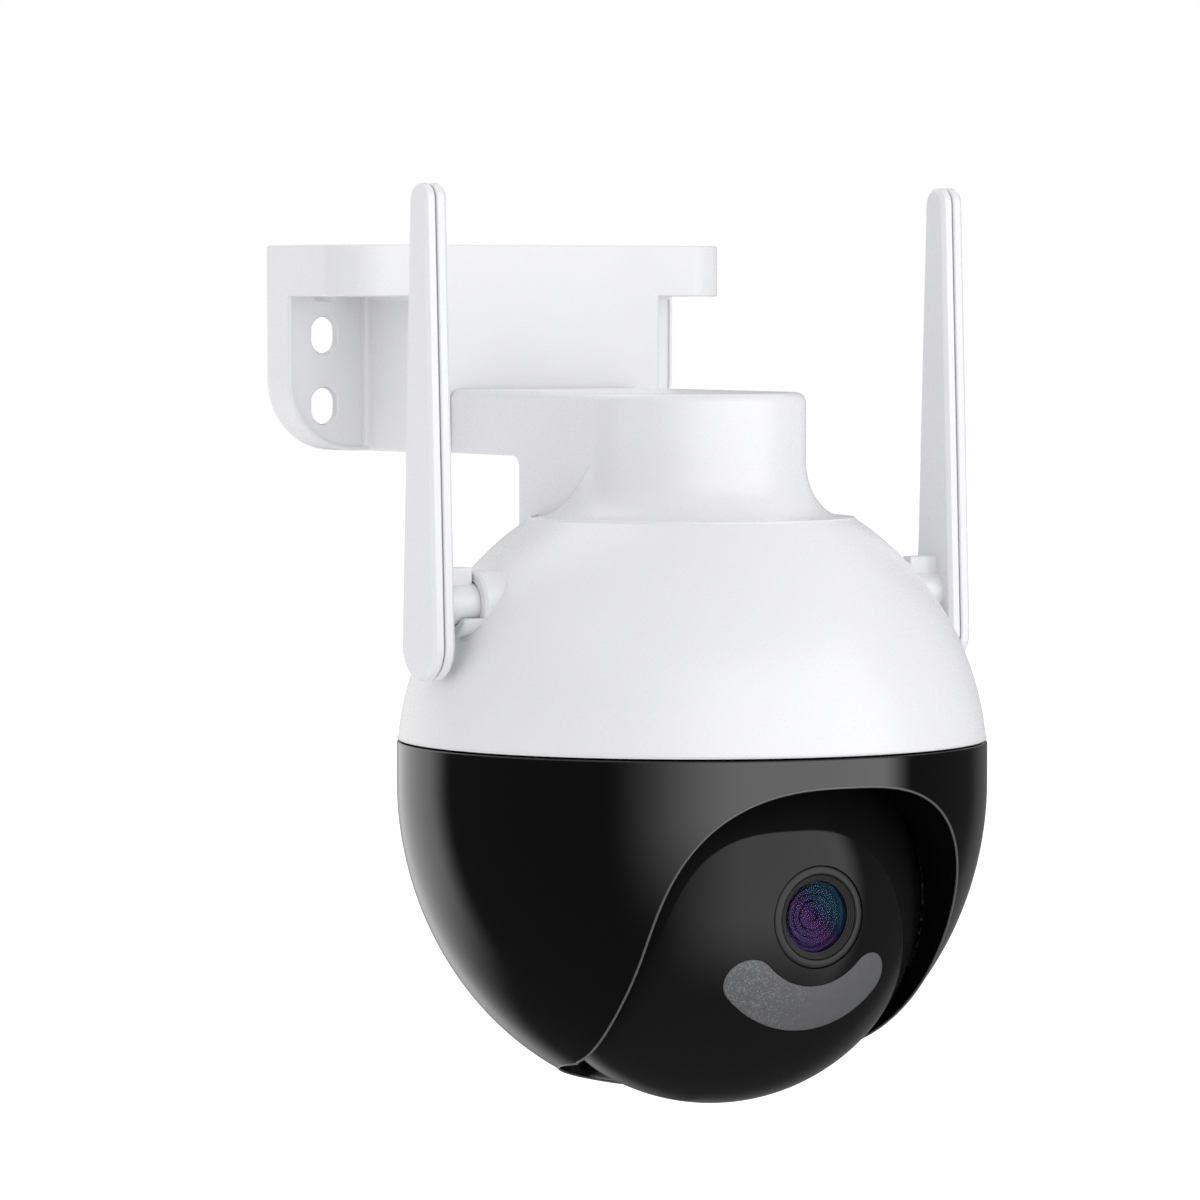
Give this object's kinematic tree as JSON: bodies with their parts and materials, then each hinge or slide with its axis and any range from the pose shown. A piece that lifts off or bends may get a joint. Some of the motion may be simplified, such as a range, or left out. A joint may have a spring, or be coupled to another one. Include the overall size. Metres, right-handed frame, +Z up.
{
  "type": "security camera",
  "caption": "Wall or ceiling mounted outdoor security camera: L-shaped bracket, white dome, panning black head with a tilting eyeball lens and lamp, and folding antennas.",
  "frame": {"origin": "centre of the wall-mounting face of the bracket", "axes": "+Z up, +Y into the wall, -Y the way the camera looks at rest, +X to the right seen from the front"},
  "size_m": [0.1182, 0.1468, 0.1732],
  "materials": {
    "white_shell": "white satin moulded plastic",
    "black_gloss": "piano-black polished plastic",
    "black_matte": "matte black moulded plastic",
    "grey_frame": "grey glass-filled plastic",
    "acetal": "natural white acetal",
    "seal_rubber": "black silicone rubber",
    "screw_steel": "zinc-plated steel",
    "motor_can": "drawn steel can",
    "circuit_board": "green solder resist",
    "lens_bezel": "dark grey satin ring",
    "lens_glass": "coated optical glass",
    "lamp_diffuser": "frosted grey translucent plastic",
    "led": "phosphor diode",
    "copper": "copper radiator strip",
    "speaker_cone": "black treated cone"
  },
  "bodies": {
    "bracket_and_dome": {"wall_bracket": "white_shell", "cable_grommet": "seal_rubber", "arm_neck": "white_shell", "arm_screw_left": "screw_steel", "arm_screw_right": "screw_steel", "neck_screw_left": "screw_steel", "neck_screw_right": "screw_steel", "neck_gasket": "seal_rubber", "upper_shell": "white_shell", "pan_carrier": "grey_frame", "carrier_screw_1": "screw_steel", "carrier_screw_2": "screw_steel", "carrier_screw_3": "screw_steel", "pan_bearing": "screw_steel", "pan_motor": "motor_can", "main_board": "circuit_board", "wifi_module": "motor_can"},
    "pan_head": {"yoke_shell": "black_gloss", "service_cover": "black_gloss", "card_board": "circuit_board", "head_frame": "grey_frame", "head_screw_1": "screw_steel", "head_screw_2": "screw_steel", "head_screw_3": "screw_steel", "head_screw_4": "screw_steel", "tilt_bush_left": "acetal", "tilt_bush_right": "acetal", "tilt_motor": "motor_can", "pan_gear": "acetal", "pan_retainer": "grey_frame", "speaker": "speaker_cone"},
    "eyeball": {"eye_front": "black_gloss", "eye_rear": "black_gloss", "eye_screw_1": "screw_steel", "eye_screw_2": "screw_steel", "trunnion_left": "screw_steel", "trunnion_right": "screw_steel", "tilt_gear": "acetal", "lens_ring": "lens_bezel", "lens_barrel": "black_matte", "lens_glass": "lens_glass", "lens_holder": "black_matte", "sensor_board": "circuit_board", "light_board": "circuit_board", "led_1": "led", "led_2": "led", "led_3": "led", "led_4": "led", "light_diffuser": "lamp_diffuser"},
    "pan_pinion": {"pan_pinion": "acetal"},
    "tilt_pinion": {"tilt_pinion": "acetal"},
    "reset_button": {"reset_button": "black_matte"},
    "antenna_left": {"antenna_left_inner": "white_shell", "antenna_left_outer": "white_shell", "antenna_left_element": "copper", "antenna_left_clip": "screw_steel"},
    "antenna_right": {"antenna_right_inner": "white_shell", "antenna_right_outer": "white_shell", "antenna_right_element": "copper", "antenna_right_clip": "screw_steel"}
  },
  "joints": [
    {"name": "pan", "type": "hinge", "parent": "bracket_and_dome", "child": "pan_head", "pos_m": [0, -0.0908, -0.0784], "axis": [0, 0, 1], "range_deg": [-175, 175]},
    {"name": "tilt", "type": "hinge", "parent": "pan_head", "child": "eyeball", "pos_m": [0, -0.0975, -0.1021], "axis": [1, 0, 0], "range_deg": [-12, 86]},
    {"name": "pan_pinion_spin", "type": "hinge", "parent": "bracket_and_dome", "child": "pan_pinion", "pos_m": [0, -0.0648, -0.0564], "axis": [0, 0, 1], "range_deg": [-590, 590]},
    {"name": "tilt_pinion_spin", "type": "hinge", "parent": "pan_head", "child": "tilt_pinion", "pos_m": [0, -0.08464, -0.08678], "axis": [1, 0, 0], "range_deg": [-205, 32]},
    {"name": "antenna_left_hinge", "type": "hinge", "parent": "bracket_and_dome", "child": "antenna_left", "pos_m": [0, -0.0908, -0.0468], "axis": [1, 0, 0], "range_deg": [-90, 90]},
    {"name": "antenna_right_hinge", "type": "hinge", "parent": "bracket_and_dome", "child": "antenna_right", "pos_m": [0, -0.0908, -0.0468], "axis": [1, 0, 0], "range_deg": [-90, 90]},
    {"name": "reset_press", "type": "slide", "parent": "pan_head", "child": "reset_button", "axis": [0, -1, 0], "range_m": [0, 0.0006], "stiffness_N_per_m": 300, "springref_m": -0.0003}
  ],
  "couplings": [
    {"joint": "pan_pinion_spin", "follows": "pan", "ratio": -3.3333},
    {"joint": "tilt_pinion_spin", "follows": "tilt", "ratio": -2.3333}
  ]
}
